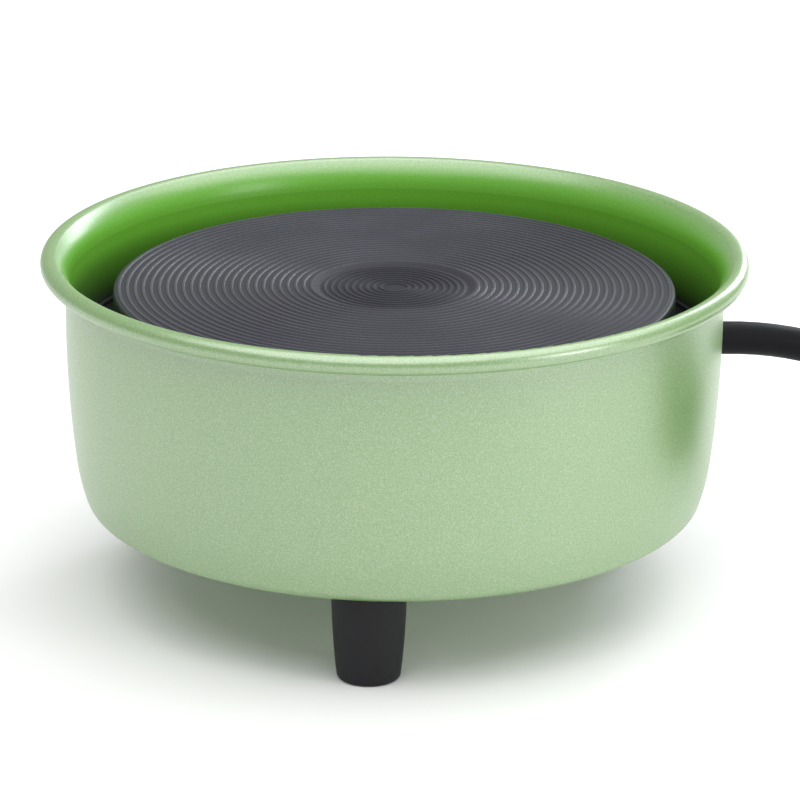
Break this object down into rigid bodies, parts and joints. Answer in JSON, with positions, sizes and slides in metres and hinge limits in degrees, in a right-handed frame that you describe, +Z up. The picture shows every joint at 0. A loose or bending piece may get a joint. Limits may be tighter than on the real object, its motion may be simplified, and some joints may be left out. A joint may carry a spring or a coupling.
{
  "type": "pottery wheel",
  "caption": "Small tabletop electric pottery wheel: ridged turning disc sunk in a round splash bowl on rubber feet, belt driven, with a coiled lead.",
  "frame": {"origin": "on the bowl's axis at the level that the feet stand on", "axes": "+Z up along the wheel's axis; the front foot is at -Y"},
  "size_m": [0.3592, 0.1982, 0.098],
  "materials": {
    "bowl_enamel": "fine metallic apple green paint, glossy",
    "wheelhead_dark": "dark grey satin coating over turned ridges",
    "foot_rubber": "matt black moulded rubber",
    "cord_rubber": "smooth matt black flexible jacket",
    "black_plastic": "black moulded plastic, fine texture",
    "deck_plastic": "dark moulded plastic",
    "zinc_steel": "zinc plated steel",
    "bearing_steel": "polished bearing steel",
    "cast_alloy": "machined aluminium",
    "motor_steel": "drawn steel, satin",
    "magnet_ferrite": "dull ferrite",
    "belt_rubber": "black drive belt",
    "board_green": "solder-masked board",
    "brass": "nickel and brass contacts"
  },
  "bodies": {
    "base": {"bowl": "bowl_enamel", "foot_front": "foot_rubber", "foot_rear_right": "foot_rubber", "foot_rear_left": "foot_rubber", "deck_seal": "foot_rubber", "cord_boot": "cord_rubber", "cord": "cord_rubber", "cord_tail": "cord_rubber", "cord_coil": "cord_rubber", "supply_tail": "cord_rubber", "motor_leads": "cord_rubber", "switch_leads": "cord_rubber", "dial_leads": "cord_rubber", "switch_body": "black_plastic", "dial_pot": "black_plastic", "gland_nut": "black_plastic", "cord_tie": "black_plastic", "plug_body": "black_plastic", "board_components": "black_plastic", "splash_deck": "deck_plastic", "foot_washers": "zinc_steel", "foot_screws": "zinc_steel", "foot_nuts": "zinc_steel", "lower_posts": "zinc_steel", "upper_posts": "zinc_steel", "post_screws": "zinc_steel", "deck_washers": "zinc_steel", "deck_screws": "zinc_steel", "housing_screws": "zinc_steel", "housing_circlips": "zinc_steel", "motor_screws": "zinc_steel", "board_screws": "zinc_steel", "board_standoffs": "zinc_steel", "drive_plate": "zinc_steel", "upper_bearing_outer_race": "bearing_steel", "lower_bearing_outer_race": "bearing_steel", "bearing_housing": "cast_alloy", "motor_can": "motor_steel", "motor_cap": "motor_steel", "motor_magnets": "magnet_ferrite", "drive_belt": "belt_rubber", "control_board": "board_green", "plug_pins": "brass"},
    "wheel": {"wheelhead": "wheelhead_dark", "wheel_hub": "cast_alloy", "water_slinger": "black_plastic", "wheelhead_screws": "zinc_steel", "spindle": "bearing_steel", "spindle_spacer": "cast_alloy", "spindle_pulley": "cast_alloy", "spindle_clip": "zinc_steel", "upper_bearing_inner_race": "bearing_steel", "lower_bearing_inner_race": "bearing_steel"},
    "ball_sets": {"upper_bearing_balls": "bearing_steel", "lower_bearing_balls": "bearing_steel"},
    "motor_armature": {"motor_rotor": "motor_steel", "motor_shaft": "bearing_steel", "motor_pulley": "cast_alloy"},
    "rocker": {"switch_rocker": "black_plastic"},
    "dial": {"dial_knob": "black_plastic"}
  },
  "joints": [
    {"name": "wheel_spin", "type": "hinge", "parent": "base", "child": "wheel", "pos_m": [0, 0, 0.0806], "axis": [0, 0, 1], "continuous": true},
    {"name": "ball_orbit", "type": "hinge", "parent": "base", "child": "ball_sets", "pos_m": [0, 0, 0.058], "axis": [0, 0, 1], "continuous": true},
    {"name": "motor_spin", "type": "hinge", "parent": "base", "child": "motor_armature", "pos_m": [0, 0.05, 0.05], "axis": [0, 0, 1], "continuous": true},
    {"name": "rocker_tilt", "type": "hinge", "parent": "base", "child": "rocker", "pos_m": [0.04164, 0.07832, 0.055], "axis": [0.8829, -0.4695, 0], "range_deg": [0, 24]},
    {"name": "dial_turn", "type": "hinge", "parent": "base", "child": "dial", "pos_m": [-0.04296, 0.08079, 0.055], "axis": [-0.4695, 0.8829, 0], "range_deg": [0, 270]}
  ],
  "couplings": [
    {"joint": "ball_orbit", "follows": "wheel_spin", "ratio": 0.4},
    {"joint": "motor_spin", "follows": "wheel_spin", "ratio": 5}
  ]
}
